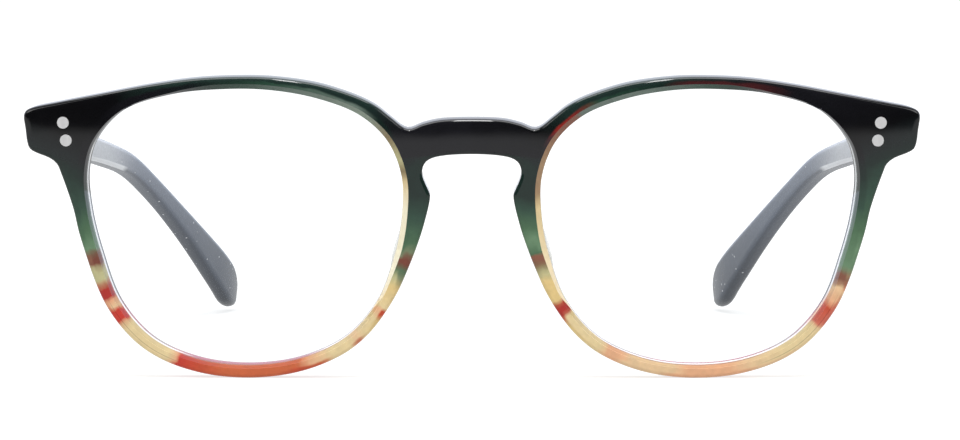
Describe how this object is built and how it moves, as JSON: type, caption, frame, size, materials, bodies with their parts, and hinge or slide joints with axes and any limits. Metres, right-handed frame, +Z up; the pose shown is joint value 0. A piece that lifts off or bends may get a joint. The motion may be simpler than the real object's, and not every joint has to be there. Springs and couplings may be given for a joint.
{
  "type": "eyeglasses",
  "caption": "Round plastic eyeglasses with a keyhole bridge, clear lenses and temples that fold in on riveted screw hinges.",
  "frame": {"origin": "on the surface it stands on, under the middle of the whole length and width", "axes": "+X to the wearer's left, -Y the way the wearer looks, +Z up"},
  "size_m": [0.1396, 0.1376, 0.0475],
  "materials": {
    "front_acetate": "polished, banded colours",
    "lens_clear": "clear, coated",
    "pad_acetate": "polished",
    "hinge_metal": "satin",
    "rivet_metal": "ground flush",
    "screw_metal": "polished",
    "temple_acetate": "satin",
    "core_wire": "drawn wire"
  },
  "bodies": {
    "front_frame": {"front": "front_acetate", "lens_left": "lens_clear", "lens_right": "lens_clear", "nose_pad_left": "pad_acetate", "nose_pad_right": "pad_acetate", "front_hinge_leaf_left": "hinge_metal", "front_hinge_leaf_right": "hinge_metal", "front_rivet_upper_left": "rivet_metal", "front_rivet_lower_left": "rivet_metal", "front_rivet_upper_right": "rivet_metal", "front_rivet_lower_right": "rivet_metal", "hinge_screw_left": "screw_metal", "hinge_screw_right": "screw_metal"},
    "left_temple": {"temple_left": "temple_acetate", "core_wire_left": "core_wire", "temple_hinge_leaf_left": "hinge_metal", "temple_rivet_fore_left": "rivet_metal", "temple_rivet_aft_left": "rivet_metal"},
    "right_temple": {"temple_right": "temple_acetate", "core_wire_right": "core_wire", "temple_hinge_leaf_right": "hinge_metal", "temple_rivet_fore_right": "rivet_metal", "temple_rivet_aft_right": "rivet_metal"}
  },
  "joints": [
    {"name": "left_temple_fold", "type": "hinge", "parent": "front_frame", "child": "left_temple", "pos_m": [0.0632, -0.05968, 0.03893], "axis": [0, 0, 1], "range_deg": [0, 80]},
    {"name": "right_temple_fold", "type": "hinge", "parent": "front_frame", "child": "right_temple", "pos_m": [-0.0632, -0.05968, 0.03893], "axis": [0, 0, -1], "range_deg": [0, 74]}
  ]
}
